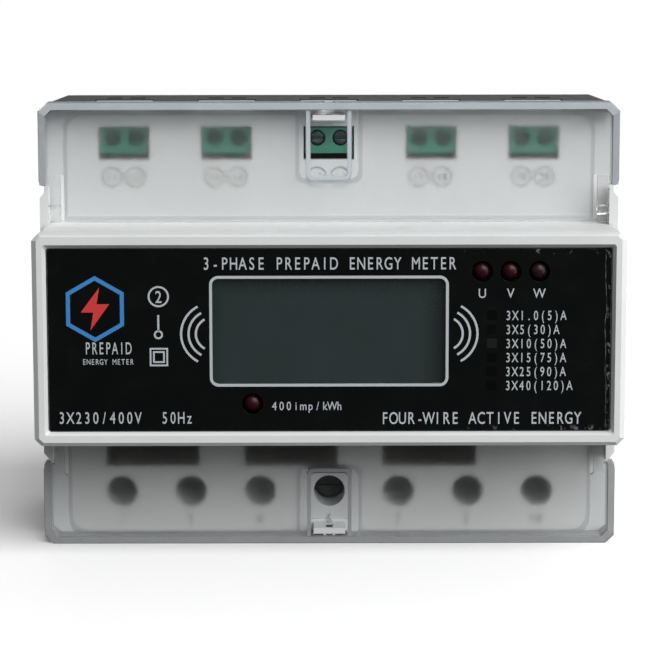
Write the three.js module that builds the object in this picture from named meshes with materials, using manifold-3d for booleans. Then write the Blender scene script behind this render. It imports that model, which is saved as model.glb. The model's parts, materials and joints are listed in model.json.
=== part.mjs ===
// Three-phase prepaid electricity meter for a 35 mm rail, in millimetres.
// X runs along the rail, Z is up and -Y is the front. The origin is the middle of the seat
// that lies on the rail's front face.
import * as THREE from 'three';
import { mergeVertices } from 'three/addons/utils/BufferGeometryUtils.js';
import Module from 'manifold-3d';

const wasm = await Module();
wasm.setup();

// ---------------------------------------------------------------- driving dimensions
const MODULE_WIDTH = 18;
const MODULES = 7;
const HALF_WIDTH = (MODULE_WIDTH * MODULES) / 2;
const HALF_HEIGHT = 48.75;
const GAP = 0.3; // between neighbouring pieces
const WALL = 1.8;

// Depths, front to back.
const NOSE_FRONT = -63;
const LABEL_FRONT = -61.9;
const COVER_FACE = -44.5;
const COLLAR_FRONT = -38.5;
const SHELF_FRONT = -38;
const SHELF_BACK = -35.8;
const BASE_FRONT = SHELF_BACK + 0.3;
const COLLAR_BACK = -20;
const CAVITY_BACK = -2;
const SEAT = 0;
const PAD_BACK = 7;

// White shelf plate behind the covers. It lies over the base's front at the sides and the bottom.
const SHELF = { halfX: 62.5, z: [-48.4, 47.05], corner: 2.2 };

// Nose: the raised middle of the front, with a lip round its face.
const NOSE_HALF_FOOT = 22.2;
const NOSE_LIP = { face: [-22.3, 21.95], side: [-23.2, 22.5], bevel: 1.1, back: -57 };
const NOSE_WALL = 1.75;
// Recess for the label: its mouth slopes in to the label's level, and a ledge carries the label.
const RECESS = {
  mouth: { halfX: 60.7, z: [-20.8, 20.2] },
  floor: { halfX: 60, z: [-20.15, 19.4] },
  corner: 0.4,
  ledgeX: 57.5,
  ledgeZ: 17.7,
  ledge: 1.5,
};

// Label plate.
const LABEL = { x: [-59.7, 59.7], z: [-19.85, 19.1], thickness: 1.2, corner: 0.5 };
const DISPLAY = { x: [-25.2, 25.1], z: [-10.1, 13.2], corner: 1.5 };
const LED_RADIUS = 2;
const LEDS = {
  led_u: [32.45, 14.3],
  led_v: [38.45, 14.3],
  led_w: [44.5, 14.3],
  led_pulse: [-16.4, -14.1],
};

// Terminals.
const SIGNAL_PITCH = 22.4;
const SIGNAL_POLE = 2.54;
const SIGNAL_WINDOW = { halfX: 5.525, z: [35.9, 43.2] };
const SIGNAL_SCREW_Z = 40.6;
const MAIN_PITCH = 15.4;
const MAIN_Z = -38.2;
const MAIN_HOLE_RADIUS = 3.5;
const RELAY_WINDOW = { halfX: 10.4, z: [-24, -32.5], shift: -0.8 };

// Hinged terminal covers, drawn for the upper one and mirrored for the lower one.
const COVER = {
  plate: 1.4,
  skirt: 1.55,
  foot: 22.8,
  sideEnd: 30.8,
  slit: [57.4, 58.3],
  slitEnd: 33.4,
  tongueOuter: 60.6,
  pinY: -43.3,
  pinZ: 25.4,
  pinRadius: 0.9,
  bossRadius: 1.15,
};
const POCKET = { halfX: 4, z: [32.9, 47.2], wall: 1, floorFront: -40.4, window: 44.2 };
const LUG = { halfX: 3.5, upperZ: [44.9, 46.05], lowerZ: [-46.8, -45.5], front: -43.6 };
const SEAL_HOLE = { y: [-42.9, -39.4], frontHalfX: 0.7, backHalfX: 0.95 };
const CHEEK = { x: [60.9, 62.8], top: 30.2, cut: 2, front: -44.9 };

// Rail clip.
const RAIL_HALF = 17.7;
const CLIP = { wide: 10, narrow: 7, z: [-47.9, -16.2], front: 1.2, step: 3.4, back: 6.7 };
const CLIP_WINDOW = { halfX: 2.8, z: [-40.5, -26.3] };
const SPRING_LEDGE_TOP = -38;

// Housing screws.
const BOLT = { x: 56.3, z: 28.5, shaft: 1.2, hole: 1.5, head: 2.6, seat: 3 };

// ---------------------------------------------------------------- solid modelling helpers
function solid(geometry) {
  const bare = geometry.index ? geometry.toNonIndexed() : geometry.clone();
  bare.deleteAttribute('normal');
  bare.deleteAttribute('uv');
  const merged = mergeVertices(bare, 1e-4);
  return new wasm.Manifold(new wasm.Mesh({
    numProp: 3,
    vertProperties: merged.attributes.position.array,
    triVerts: new Uint32Array(merged.index.array),
  }));
}

function geometryOf(made) {
  const mesh = made.getMesh();
  const geometry = new THREE.BufferGeometry();
  geometry.setAttribute('position', new THREE.BufferAttribute(mesh.vertProperties, 3));
  geometry.setIndex(new THREE.BufferAttribute(mesh.triVerts, 1));
  geometry.computeVertexNormals();
  return geometry;
}

const join = (first, ...others) => others.reduce((sum, other) => sum.add(other), first);
const cut = (first, ...tools) => tools.reduce((rest, tool) => rest.subtract(tool), first);
const sorted = (range) => [Math.min(...range), Math.max(...range)];
const mirroredIf = (side, range) => sorted(range.map((value) => value * side));

// A box from its ranges along X, Y and Z.
function box(x, y, z) {
  const ranges = [sorted(x), sorted(y), sorted(z)];
  const geometry = new THREE.BoxGeometry(...ranges.map(([low, high]) => high - low));
  geometry.translate(...ranges.map(([low, high]) => (low + high) / 2));
  return solid(geometry);
}

// A round bar along Y, X or Z.
function rodY(x, z, radius, y, sides = 16) {
  const [low, high] = sorted(y);
  const geometry = new THREE.CylinderGeometry(radius, radius, high - low, sides);
  return solid(geometry.translate(x, (low + high) / 2, z));
}

function rodX(y, z, radius, x, sides = 16) {
  const [low, high] = sorted(x);
  const geometry = new THREE.CylinderGeometry(radius, radius, high - low, sides);
  return solid(geometry.rotateZ(Math.PI / 2).translate((low + high) / 2, y, z));
}

function rodZ(x, y, radius, z, sides = 16) {
  const [low, high] = sorted(z);
  const geometry = new THREE.CylinderGeometry(radius, radius, high - low, sides);
  return solid(geometry.rotateX(Math.PI / 2).translate(x, y, (low + high) / 2));
}

function extrude(outline, depth, basis) {
  const shape = new THREE.Shape(outline.map(([u, v]) => new THREE.Vector2(u, v)));
  const geometry = new THREE.ExtrudeGeometry(shape, { depth, bevelEnabled: false });
  return geometry.applyMatrix4(new THREE.Matrix4().makeBasis(...basis));
}

const AXIS_X = new THREE.Vector3(1, 0, 0);
const AXIS_Y = new THREE.Vector3(0, 1, 0);
const AXIS_Z = new THREE.Vector3(0, 0, 1);

// An outline in (x, z) carried along Y, and one in (y, z) carried along X.
function prismY(outline, y) {
  const [low, high] = sorted(y);
  const basis = [AXIS_X, AXIS_Z, AXIS_Y.clone().negate()];
  return solid(extrude(outline, high - low, basis).translate(0, high, 0));
}

function prismX(outline, x) {
  const [low, high] = sorted(x);
  return solid(extrude(outline, high - low, [AXIS_Y, AXIS_Z, AXIS_X]).translate(low, 0, 0));
}

// A solid through convex (x, z) outlines of equal point count at rising depths.
function loftY(rings) {
  const count = rings[0].outline.length;
  const position = rings.flatMap(({ y, outline }) => outline.flatMap(([x, z]) => [x, y, z]));
  const index = [];
  for (let ring = 0; ring < rings.length - 1; ring += 1) {
    for (let i = 0; i < count; i += 1) {
      const next = (i + 1) % count;
      const [a, b] = [ring * count + i, ring * count + next];
      index.push(a, b, b + count, a, b + count, a + count);
    }
  }
  const last = (rings.length - 1) * count;
  for (let i = 1; i < count - 1; i += 1) {
    index.push(0, i + 1, i);
    index.push(last, last + i, last + i + 1);
  }
  const geometry = new THREE.BufferGeometry();
  geometry.setAttribute('position', new THREE.Float32BufferAttribute(position, 3));
  geometry.setIndex(index);
  return solid(geometry);
}

// A rectangle in (x, z) with its four corners cut off, anticlockwise seen from behind (+Y).
function cutRectangle([x0, x1], [z0, z1], cutX, cutZ = cutX) {
  return [
    [x0 + cutX, z0], [x0, z0 + cutZ], [x0, z1 - cutZ], [x0 + cutX, z1],
    [x1 - cutX, z1], [x1, z1 - cutZ], [x1, z0 + cutZ], [x1 - cutX, z0],
  ];
}

const centred = (halfX, halfZ, cutX, cutZ) =>
  cutRectangle([-halfX, halfX], [-halfZ, halfZ], cutX, cutZ);

// A rectangle with round corners, each drawn as an arc of a few steps.
function roundRectangle([x0, x1], [z0, z1], radius, steps = 4) {
  const corners = [[x1, z1, 0], [x0, z1, 1], [x0, z0, 2], [x1, z0, 3]];
  return corners.flatMap(([x, z, quarter]) => {
    const centreX = x + (x === x1 ? -radius : radius);
    const centreZ = z + (z === z1 ? -radius : radius);
    return Array.from({ length: steps + 1 }, (_, step) => {
      const angle = ((quarter + step / steps) * Math.PI) / 2;
      return [centreX + radius * Math.cos(angle), centreZ + radius * Math.sin(angle)];
    });
  });
}

// A turned piece about an axis along Y: its profile is [radius, y] points from axis to axis.
function turned(x, z, profile, sides = 20) {
  const points = profile.map(([radius, y]) => new THREE.Vector2(radius, y));
  return solid(new THREE.LatheGeometry(points, sides).translate(x, 0, z));
}

// ---------------------------------------------------------------- repeated places
const signalCentres = [-2, -1, 0, 1, 2].map((step) => step * SIGNAL_PITCH);
const mainCentres = [-3, -2, -1, 0, 1, 2, 3].map((step) => step * MAIN_PITCH);
const phaseCentres = [-38.5, -7.7, 23.1];
const sides = [1, -1];

// ---------------------------------------------------------------- scene graph
const meter = new THREE.Group();
meter.name = 'prepaid_meter';

const FINISHES = {
  white_plastic: { color: 0xd6d6d2, roughness: 0.5, metalness: 0 },
  dark_plastic: { color: 0x2c2f31, roughness: 0.55, metalness: 0 },
  clear_plastic: { color: 0xc4cacc, roughness: 0.35, metalness: 0 },
  label_black: { color: 0x0b0b0c, roughness: 0.2, metalness: 0 },
  window: { color: 0x5a6566, roughness: 0.1, metalness: 0 },
  lcd_glass: { color: 0x3a4442, roughness: 0.15, metalness: 0 },
  backlight: { color: 0xd8dcd0, roughness: 0.5, metalness: 0 },
  circuit_board: { color: 0x1f5a38, roughness: 0.45, metalness: 0 },
  terminal_green: { color: 0x3d7d66, roughness: 0.5, metalness: 0 },
  steel: { color: 0x8d9194, roughness: 0.35, metalness: 1 },
  brass: { color: 0xb08d4a, roughness: 0.35, metalness: 1 },
  copper: { color: 0xb8704a, roughness: 0.35, metalness: 1 },
  relay_case: { color: 0x2b2724, roughness: 0.5, metalness: 0 },
  transformer_tape: { color: 0xc9a33b, roughness: 0.6, metalness: 0 },
  core_blue: { color: 0x2b4f7a, roughness: 0.5, metalness: 0 },
  battery_wrap: { color: 0x3e7c4c, roughness: 0.4, metalness: 0 },
  capacitor_wrap: { color: 0x22242c, roughness: 0.4, metalness: 0 },
  led_red: { color: 0x5a1018, roughness: 0.15, metalness: 0 },
  clip_grey: { color: 0x3b3e40, roughness: 0.5, metalness: 0 },
};

function place(name, made, finish) {
  const mesh = new THREE.Mesh(geometryOf(made), new THREE.MeshStandardMaterial(FINISHES[finish]));
  mesh.name = name;
  meter.add(mesh);
}

// ---------------------------------------------------------------- front housing
// White moulding: nose, both terminal shelves, cover hinge cheeks and seal lugs.
function noseShell() {
  const { face, side, bevel, back } = NOSE_LIP;
  const faceX = HALF_WIDTH - bevel;
  const wide = [-HALF_WIDTH, HALF_WIDTH];
  const outer = loftY([
    { y: NOSE_FRONT, outline: cutRectangle([-faceX, faceX], face, 0.9) },
    { y: NOSE_FRONT + bevel, outline: cutRectangle(wide, side, 1.5) },
    { y: back, outline: cutRectangle(wide, side, 1.5) },
    { y: back + 1, outline: centred(HALF_WIDTH, NOSE_HALF_FOOT, 1.5) },
    { y: COLLAR_FRONT - GAP, outline: centred(HALF_WIDTH, NOSE_HALF_FOOT, 1.5) },
  ]);
  const neckX = [-SHELF.halfX, SHELF.halfX];
  const neck = box(neckX, [COLLAR_FRONT - 1, SHELF_BACK], [-NOSE_HALF_FOOT, NOSE_HALF_FOOT]);
  return join(outer, neck);
}

function noseCavity() {
  const { mouth, floor, corner, ledgeX, ledgeZ, ledge } = RECESS;
  const seatY = LABEL_FRONT + LABEL.thickness + GAP;
  const outlineOf = ({ halfX, z }) => cutRectangle([-halfX, halfX], z, corner);
  const recess = loftY([
    { y: NOSE_FRONT - 1, outline: outlineOf(mouth) },
    { y: NOSE_FRONT, outline: outlineOf(mouth) },
    { y: LABEL_FRONT, outline: outlineOf(floor) },
    { y: seatY, outline: outlineOf(floor) },
  ]);
  const throat = box([-ledgeX, ledgeX], [seatY - 0.1, seatY + ledge + 0.1], [-ledgeZ, ledgeZ]);
  const innerX = HALF_WIDTH - 2.6;
  const innerZ = NOSE_HALF_FOOT - NOSE_WALL;
  const inside = box([-innerX, innerX], [seatY + ledge, SHELF_BACK + 1], [-innerZ, innerZ]);
  return join(recess, throat, inside);
}

function cheek(sideX, sideZ) {
  const { x: [inner, outer], top, cut: corner, front } = CHEEK;
  const bottom = NOSE_HALF_FOOT - 1.9;
  const outline = [
    [inner, bottom], [outer, bottom], [outer, top - corner], [outer - corner + 0.4, top], [inner, top],
  ].map(([x, z]) => [x * sideX, z * sideZ]);
  const body = prismY(outline, [front, COLLAR_FRONT - GAP]);
  const hole = rodX(COVER.pinY, COVER.pinZ * sideZ, COVER.pinRadius + GAP, [58 * sideX, 64 * sideX]);
  return cut(body, hole);
}

function lug([low, high]) {
  const body = box([-LUG.halfX, LUG.halfX], [LUG.front, SHELF_FRONT + 1], [low, high]);
  return cut(body, sealHole([low - 1, high + 1]));
}

// The sealing wire's way through a lug and the end wall of its cover, along Z.
function sealHole([low, high]) {
  const { y: [front, back], frontHalfX, backHalfX } = SEAL_HOLE;
  const outline = [[-frontHalfX, front], [frontHalfX, front], [backHalfX, back], [-backHalfX, back]];
  const shape = new THREE.Shape(outline.map(([x, y]) => new THREE.Vector2(x, y)));
  const geometry = new THREE.ExtrudeGeometry(shape, { depth: high - low, bevelEnabled: false });
  return solid(geometry.translate(0, 0, low));
}

// A guide tube behind a main screw hole, with a ledge that keeps the screw in place.
const TUBE = { outer: 4.7, end: -25.4, ledge: 1.3, bore: 2.9 };
const screwTube = (x) => rodY(x, MAIN_Z, TUBE.outer, [SHELF_FRONT + 0.5, TUBE.end]);
function screwBore(x) {
  const wide = rodY(x, MAIN_Z, MAIN_HOLE_RADIUS, [SHELF_FRONT - 1, TUBE.end - TUBE.ledge], 24);
  const narrow = rodY(x, MAIN_Z, TUBE.bore, [TUBE.end - TUBE.ledge - 1, TUBE.end + 1], 12);
  return join(wide, narrow);
}

function frontHousing() {
  const shelfOutline = cutRectangle([-SHELF.halfX, SHELF.halfX], SHELF.z, SHELF.corner);
  const shelf = prismY(shelfOutline, [SHELF_FRONT, SHELF_BACK]);
  const tabX = (x) => [x - 6.15, x + 6.15];
  const tabs = signalCentres.map((x) => box(tabX(x), [SHELF_FRONT, -33.6], [46.59, 48.5]));
  const tabFeet = signalCentres.map((x) => box(tabX(x), [SHELF_FRONT, SHELF_BACK], [45, 48]));
  const bolts = sides.flatMap((sideX) => sides.map((sideZ) => [BOLT.x * sideX, BOLT.z * sideZ]));
  const bosses = bolts.map(([x, z]) => rodY(x, z, 2.9, [SHELF_FRONT + 0.5, -11.9], 12));
  const boltHoles = bolts.map(([x, z]) => rodY(x, z, BOLT.hole, [-26, -10], 10));
  const signalWindows = signalCentres.map((x) =>
    box([x - SIGNAL_WINDOW.halfX, x + SIGNAL_WINDOW.halfX], [-40, -34.6], SIGNAL_WINDOW.z));
  const relayWindows = phaseCentres.map((x) => x + RELAY_WINDOW.shift).map((x) =>
    box([x - RELAY_WINDOW.halfX, x + RELAY_WINDOW.halfX], [-40, -34.6], RELAY_WINDOW.z));
  const body = join(
    noseShell(), shelf, ...tabs, ...tabFeet, ...bosses,
    ...mainCentres.map(screwTube),
    lug(LUG.upperZ), lug(LUG.lowerZ),
    ...sides.flatMap((sideX) => sides.map((sideZ) => cheek(sideX, sideZ))),
  );
  return cut(
    body, noseCavity(), ...boltHoles, ...signalWindows, ...relayWindows,
    ...mainCentres.map(screwBore),
  );
}

// ---------------------------------------------------------------- rear base
// Dark moulding behind the shelves: collar, guide ribs for the cages, rail channel and clip slot.
const BASE = { halfX: 60.8, top: 46.5, innerX: 59.2, padInner: 5, rearTop: 44.7, floor: -46.95 };

function baseOuter() {
  const collar = loftY([
    { y: COLLAR_FRONT, outline: centred(62.8, HALF_HEIGHT, 2.5) },
    { y: COLLAR_BACK, outline: centred(61, HALF_HEIGHT, 2.5) },
  ]);
  const rear = prismY(cutRectangle([-BASE.halfX, BASE.halfX], [-HALF_HEIGHT, BASE.top], 2),
    [COLLAR_BACK - 1, PAD_BACK]);
  return join(collar, rear);
}

function baseCavity() {
  const inner = HALF_HEIGHT - WALL;
  const collar = loftY([
    { y: COLLAR_FRONT - 1, outline: centred(62.8 - WALL, inner, 2.2) },
    { y: COLLAR_BACK - 0.5, outline: centred(61 - WALL, inner, 2.2) },
  ]);
  const shelfSeat = box([-70, 70], [COLLAR_FRONT - 1, BASE_FRONT], [-HALF_HEIGHT - 1, SHELF.z[1] + GAP]);
  const halfX = BASE.innerX;
  const middle = box([-halfX, halfX], [COLLAR_BACK - 1, CAVITY_BACK], [BASE.floor, BASE.rearTop]);
  const upperPad = box([-halfX, halfX], [CAVITY_BACK - 1, BASE.padInner], [20, BASE.rearTop]);
  const lowerPads = sides.map((side) =>
    box([12.5 * side, halfX * side], [CAVITY_BACK - 1, BASE.padInner], [BASE.floor, -20]));
  return join(collar, shelfSeat, middle, upperPad, ...lowerPads);
}

function clipSlot() {
  const z = [-HALF_HEIGHT - 1, -RAIL_HALF + 0.1];
  const wide = box([-CLIP.wide - GAP, CLIP.wide + GAP], [CLIP.front - 0.2, CLIP.step + GAP], z);
  const mouth = box([-CLIP.narrow - GAP, CLIP.narrow + GAP], [CLIP.step, PAD_BACK + 1], z);
  return join(wide, mouth);
}

function rearBase() {
  const channel = box([-70, 70], [SEAT, PAD_BACK + 1], [-RAIL_HALF, RAIL_HALF]);
  const hookRelief = box([-70, 70], [SEAT - 0.5, SEAT + 1], [15.8, RAIL_HALF]);
  const hook = prismX([[1.5, 18], [1.5, 16.1], [2.6, 16.1], [4.4, 18]], [-BASE.halfX, BASE.halfX]);
  const ledge = box([-2.5, 2.5], [0, 6.2], [SPRING_LEDGE_TOP - 2, SPRING_LEDGE_TOP]);
  const ribs = [...mainCentres, mainCentres[0] - MAIN_PITCH].map((x) => x + MAIN_PITCH / 2).map((x) =>
    box([x - 1.85, x + 1.85], [-24.8, CAVITY_BACK + 1], [BASE.floor - 0.5, -33]));
  const bolts = sides.flatMap((sideX) => sides.map((sideZ) => [BOLT.x * sideX, BOLT.z * sideZ]));
  const posts = bolts.map(([x, z]) => rodY(x, z, 3.6, [-11.6, PAD_BACK - 1], 12));
  const headBores = bolts.map(([x, z]) => rodY(x, z, BOLT.head + GAP, [BOLT.seat, PAD_BACK + 1]));
  const shaftBores = bolts.map(([x, z]) => rodY(x, z, BOLT.hole, [-13, PAD_BACK], 12));
  const wireEntries = mainCentres.map((x) => rodZ(x, -9.65, 3.8, [-HALF_HEIGHT - 1, -46]));
  const tabNotches = signalCentres.map((x) => box([x - 6.45, x + 6.45], [-39, -33.3], [46.3, 50]));
  const signalEntries = signalCentres.flatMap((x) => [x - SIGNAL_POLE, x + SIGNAL_POLE]).map((x) =>
    box([x - 1.7, x + 1.7], [-31.1, -27.7], [46, 50]));
  const hollow = cut(baseOuter(), baseCavity());
  const fitted = join(hollow, ...ribs, ...posts);
  const opened = cut(
    fitted, channel, hookRelief, clipSlot(), ...headBores, ...shaftBores, ...wireEntries, ...tabNotches,
    ...signalEntries,
  );
  return join(opened, hook, ledge);
}

// ---------------------------------------------------------------- label and display
function labelPlate() {
  const back = LABEL_FRONT + LABEL.thickness;
  const plate = prismY(roundRectangle(LABEL.x, LABEL.z, LABEL.corner), [LABEL_FRONT, back]);
  const y = [LABEL_FRONT - 1, back + 1];
  const opening = prismY(roundRectangle(DISPLAY.x, DISPLAY.z, DISPLAY.corner), y);
  const ledHoles = Object.values(LEDS).map(([x, z]) => rodY(x, z, LED_RADIUS + 0.25, y, 20));
  return cut(plate, opening, ...ledHoles);
}

function displayWindow() {
  const play = 0.2;
  const x = [DISPLAY.x[0] + play, DISPLAY.x[1] - play];
  const z = [DISPLAY.z[0] + play, DISPLAY.z[1] - play];
  return prismY(roundRectangle(x, z, DISPLAY.corner - play), [LABEL_FRONT + 0.05, LABEL_FRONT + 1]);
}

function antennaCoil() {
  const y = [-60.4, -59.6];
  const outer = prismY(roundRectangle([-29.6, 29.6], [-17.3, 17.3], 3), y);
  const inner = prismY(roundRectangle([-28.4, 28.4], [-16.7, 16.7], 2.4), [-61, -59]);
  return cut(outer, inner);
}

// A round-nosed lamp with a flange on the display board.
function led([x, z]) {
  const dome = [[0, -61.7], [0.9, -61.55], [1.6, -61.1], [LED_RADIUS, -60.4]];
  return turned(x, z, [...dome, [LED_RADIUS, -56.4], [2.3, -56.4], [2.3, -54.9], [0, -54.9]], 16);
}

// ---------------------------------------------------------------- terminal covers
function coverOutline(side) {
  const { foot, sideEnd, slit, slitEnd, tongueOuter } = COVER;
  const slitMiddle = (slit[0] + slit[1]) / 2;
  const half = [
    [slit[0], foot], [slit[0], slitEnd - 0.4], [slitMiddle, slitEnd], [slit[1], slitEnd - 0.4],
    [slit[1], foot], [tongueOuter, foot], [tongueOuter, sideEnd], [HALF_WIDTH - 0.7, sideEnd],
    [HALF_WIDTH, sideEnd + 0.9], [HALF_WIDTH, HALF_HEIGHT - 1.8], [HALF_WIDTH - 1.9, HALF_HEIGHT],
  ];
  const left = half.map(([x, z]) => [-x, z]).reverse();
  return [...half, ...left].map(([x, z]) => [x, z * side]);
}

// A clear tray with a seal pocket in the middle and a hinge pin on each tongue.
function terminalCover(side) {
  const plateBack = COVER_FACE + COVER.plate;
  const skirtBack = COLLAR_FRONT - GAP;
  const plate = prismY(coverOutline(side), [COVER_FACE, plateBack]);
  const inner = HALF_HEIGHT - COVER.skirt;
  const innerX = HALF_WIDTH - COVER.skirt;
  const rimZ = mirroredIf(side, [COVER.sideEnd, HALF_HEIGHT]);
  const rimOuter = cutRectangle([-HALF_WIDTH, HALF_WIDTH], rimZ, 1.9, 1.8);
  const rimInner = cutRectangle([-innerX, innerX], mirroredIf(side, [10, inner]), 1.5, 1.4);
  const rim = cut(
    prismY(rimOuter, [COVER_FACE + 0.5, skirtBack]),
    prismY(rimInner, [COVER_FACE - 1, skirtBack + 1]),
  );
  const { halfX, z: [pocketLow, pocketHigh], wall, floorFront, window } = POCKET;
  const pocketBack = floorFront + wall;
  const tubZ = mirroredIf(side, [pocketLow - wall, inner + 0.5]);
  const tub = prismY(roundRectangle([-halfX - wall, halfX + wall], tubZ, 1.6),
    [COVER_FACE + 0.5, pocketBack]);
  const hollowZ = mirroredIf(side, [pocketLow, pocketHigh]);
  const hollow = prismY(roundRectangle([-halfX, halfX], hollowZ, 0.9), [COVER_FACE - 1, floorFront]);
  const lugWindowZ = mirroredIf(side, [window, inner]);
  const lugWindow = box([-halfX, halfX], [floorFront - 0.5, pocketBack + 1], lugWindowZ);
  const pins = sides.flatMap((sideX) => {
    const { slit, tongueOuter, pinY, pinZ, pinRadius, bossRadius } = COVER;
    const boss = rodX(pinY, pinZ * side, bossRadius, [slit[1] * sideX, tongueOuter * sideX]);
    const pin = rodX(pinY, pinZ * side, pinRadius, [(tongueOuter - 0.5) * sideX, 62.5 * sideX]);
    return [boss, pin];
  });
  const wireHole = sealHole(mirroredIf(side, [inner - 1, HALF_HEIGHT + 1]));
  return cut(join(plate, rim, tub, ...pins), hollow, lugWindow, wireHole);
}

// ---------------------------------------------------------------- main terminals
const MAIN_SCREW = { head: 3.1, shaft: 2.4, y: [-30, -27, -14.3] };
const CAGE = { halfX: 5.5, halfZ: 4.75, y: [-20.6, -5.1], wayX: 3.8, wayY: [-18.1, -7.3], thread: 3.1 };
const BLADE = { halfX: 2.5, y: [-13.8, -12], z: [-42, -24.5] };
const RING = { bore: 3.3, outer: 6.4, z: [-32, -26], edge: 0.3 };

function mainScrew(x) {
  const [front, neck, end] = MAIN_SCREW.y;
  const head = rodY(x, MAIN_Z, MAIN_SCREW.head, [front, neck], 16);
  const slot = box([x - 4, x + 4], [front - 1, front + 1.3], [MAIN_Z - 0.55, MAIN_Z + 0.55]);
  const shaft = rodY(x, MAIN_Z, MAIN_SCREW.shaft, [neck - 0.1, end], 12);
  return cut(join(head, shaft), slot);
}

// A clamp cage: the wire lies in it, and its screw pulls it forward onto the blade.
function mainCage(x) {
  const { halfX, halfZ, y, wayX, wayY, thread } = CAGE;
  const body = box([x - halfX, x + halfX], y, [MAIN_Z - halfZ, MAIN_Z + halfZ]);
  const wireWay = box([x - wayX, x + wayX], wayY, [MAIN_Z - halfZ - 1, MAIN_Z + halfZ + 1]);
  const threadZ = [MAIN_Z - thread, MAIN_Z + thread];
  const threadWindow = box([x - thread, x + thread], [y[0] - 1, wayY[0] + 1], threadZ);
  return cut(body, wireWay, threadWindow);
}

const blade = (x) => box([x - BLADE.halfX, x + BLADE.halfX], BLADE.y, BLADE.z);

// A latching relay whose two blades reach down into its phase's cages.
function relay(x) {
  const body = prismY(cutRectangle([x - 10.4, x + 10.4], [-24.6, 10], 1), [-21, -4]);
  const ridge = box([x - 7, x + 7], [-21.8, -20.5], [-18, 4]);
  return join(body, ridge, blade(x - MAIN_PITCH / 2), blade(x + MAIN_PITCH / 2));
}

function currentTransformer(x) {
  const middleY = (BLADE.y[0] + BLADE.y[1]) / 2;
  const { bore, outer, z: [low, high], edge } = RING;
  const profile = [
    [bore, low], [outer - edge, low], [outer, low + edge], [outer, high - edge], [outer - edge, high],
    [bore, high], [bore, low],
  ].map(([radius, height]) => new THREE.Vector2(radius, height));
  const ring = new THREE.LatheGeometry(profile, 18).rotateX(Math.PI / 2);
  return solid(ring.translate(x, middleY, 0));
}

function neutralBusbar(x) {
  const foot = box([x - 2.2, x + 2.2], [-30.1, BLADE.y[1]], [-24.5, -23]);
  return join(blade(x), foot);
}

// ---------------------------------------------------------------- signal terminals
function signalTerminal(x) {
  const front = box([x - 5.2, x + 5.2], [-37.2, -35], [37.2, 42.9]);
  const rear = box([x - 5.2, x + 5.2], [-35.5, -22], [37.2, 46.3]);
  const poles = [x - SIGNAL_POLE, x + SIGNAL_POLE];
  const bores = poles.map((pole) => rodY(pole, SIGNAL_SCREW_Z, 1.8, [-38, -25], 12));
  const wireWays = poles.map((pole) => box([pole - 1.5, pole + 1.5], [-31, -27.8], [38.4, 47]));
  return cut(join(front, rear), ...bores, ...wireWays);
}

function signalScrew(x) {
  const head = rodY(x, SIGNAL_SCREW_Z, 1.5, [-36.6, -35], 12);
  const shaft = rodY(x, SIGNAL_SCREW_Z, 1, [-35.1, -27], 8);
  const slot = box([x - 2, x + 2], [-37, -35.9], [SIGNAL_SCREW_Z - 0.3, SIGNAL_SCREW_Z + 0.3]);
  return cut(join(head, shaft), slot);
}

// ---------------------------------------------------------------- electronics
function powerTransformer() {
  const core = box([-46, -20], [-50.5, -34], [-9, 9]);
  const bobbin = box([-42.5, -23.5], [-52.3, -32.4], [-6, 6]);
  const windings = box([-40, -26], [-51.5, -33.2], [-12.5, 12.5]);
  return join(core, bobbin, windings);
}

function backupBattery() {
  const can = rodX(-42.5, -6, 7.2, [6, 30], 20);
  const button = rodX(-42.5, -6, 2.4, [29.5, 31.5], 12);
  const strap = box([9, 27], [-42.5, -32.4], [-7.5, -4.5]);
  return join(can, button, strap);
}

function capacitor() {
  const top = [[0, -51.5], [4.6, -51.5], [5, -51]];
  const crimpedFoot = [[5, -34.6], [4.7, -34.2], [5, -33.8], [5, -32.4], [0, -32.4]];
  return turned(42, 8, [...top, ...crimpedFoot], 16);
}

// ---------------------------------------------------------------- rail clip and its spring
function railClip() {
  const [low, high] = CLIP.z;
  const flange = box([-CLIP.wide, CLIP.wide], [CLIP.front, CLIP.step], [low, high]);
  const stem = box([-CLIP.narrow, CLIP.narrow], [CLIP.step - 0.1, CLIP.back], [low, -RAIL_HALF - 0.9]);
  const rampOutline = [[CLIP.step - 0.1, -18.7], [CLIP.back, -18.7], [CLIP.step - 0.1, high]];
  const ramp = prismX(rampOutline, [-CLIP.narrow, CLIP.narrow]);
  const springWindow = box([-CLIP_WINDOW.halfX, CLIP_WINDOW.halfX], [0, 9], CLIP_WINDOW.z);
  const toolSlot = box([-2.6, 2.6], [4, 9], [low + 1.2, low + 3.4]);
  return cut(join(flange, stem, ramp), springWindow, toolSlot);
}

class Coil extends THREE.Curve {
  constructor(radius, bottom, height, turns) {
    super();
    Object.assign(this, { radius, bottom, height, turns });
  }

  getPoint(t, target = new THREE.Vector3()) {
    const angle = t * this.turns * 2 * Math.PI;
    return target.set(
      this.radius * Math.cos(angle), this.radius * Math.sin(angle), this.bottom + t * this.height,
    );
  }
}

function clipSpring() {
  const wire = 0.3;
  const bottom = SPRING_LEDGE_TOP + GAP + wire;
  const height = CLIP_WINDOW.z[1] - GAP - wire - bottom;
  const section = new THREE.Shape().absarc(0, 0, wire, 0, 2 * Math.PI);
  const turns = 5;
  const geometry = new THREE.ExtrudeGeometry(section, {
    curveSegments: 2, steps: turns * 10, extrudePath: new Coil(1.7, bottom, height, turns),
  });
  return solid(geometry.translate(0, (CLIP.front + CLIP.back) / 2, 0));
}

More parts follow.
